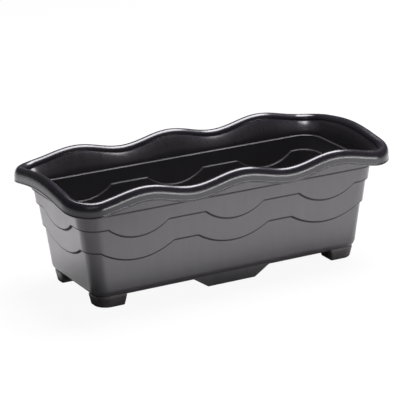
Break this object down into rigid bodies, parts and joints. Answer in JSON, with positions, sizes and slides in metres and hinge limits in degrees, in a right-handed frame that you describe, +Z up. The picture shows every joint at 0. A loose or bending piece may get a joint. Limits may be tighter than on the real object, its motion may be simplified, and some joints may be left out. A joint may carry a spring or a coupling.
{
  "type": "window box planter",
  "caption": "Long black plastic window box planter with a wavy rolled rim, scalloped stepped walls, clip-in feet and drain plugs.",
  "frame": {"origin": "on the ground, midway between the four feet", "axes": "+X along the trough, +Y across it to the back, +Z up"},
  "size_m": [0.6, 0.2722, 0.209],
  "materials": {
    "trough_plastic": "black injection-moulded plastic, glossy on the rolled rim and satin on the walls",
    "foot_plastic": "black injection-moulded plastic, finely textured",
    "plug_plastic": "black soft plastic, matte"
  },
  "bodies": {
    "planter": {"trough": "trough_plastic", "foot_front_left": "foot_plastic", "foot_front_right": "foot_plastic", "foot_back_left": "foot_plastic", "foot_back_right": "foot_plastic"},
    "plug_front_left": {"drain_plug_front_left": "plug_plastic"},
    "plug_front_right": {"drain_plug_front_right": "plug_plastic"},
    "plug_back_left": {"drain_plug_back_left": "plug_plastic"},
    "plug_back_right": {"drain_plug_back_right": "plug_plastic"}
  },
  "joints": [
    {"name": "lift_plug_front_left", "type": "slide", "parent": "planter", "child": "plug_front_left", "axis": [0, 0, 1], "range_m": [0, 0.06]},
    {"name": "lift_plug_front_right", "type": "slide", "parent": "planter", "child": "plug_front_right", "axis": [0, 0, 1], "range_m": [0, 0.06]},
    {"name": "lift_plug_back_left", "type": "slide", "parent": "planter", "child": "plug_back_left", "axis": [0, 0, 1], "range_m": [0, 0.06]},
    {"name": "lift_plug_back_right", "type": "slide", "parent": "planter", "child": "plug_back_right", "axis": [0, 0, 1], "range_m": [0, 0.06]}
  ]
}
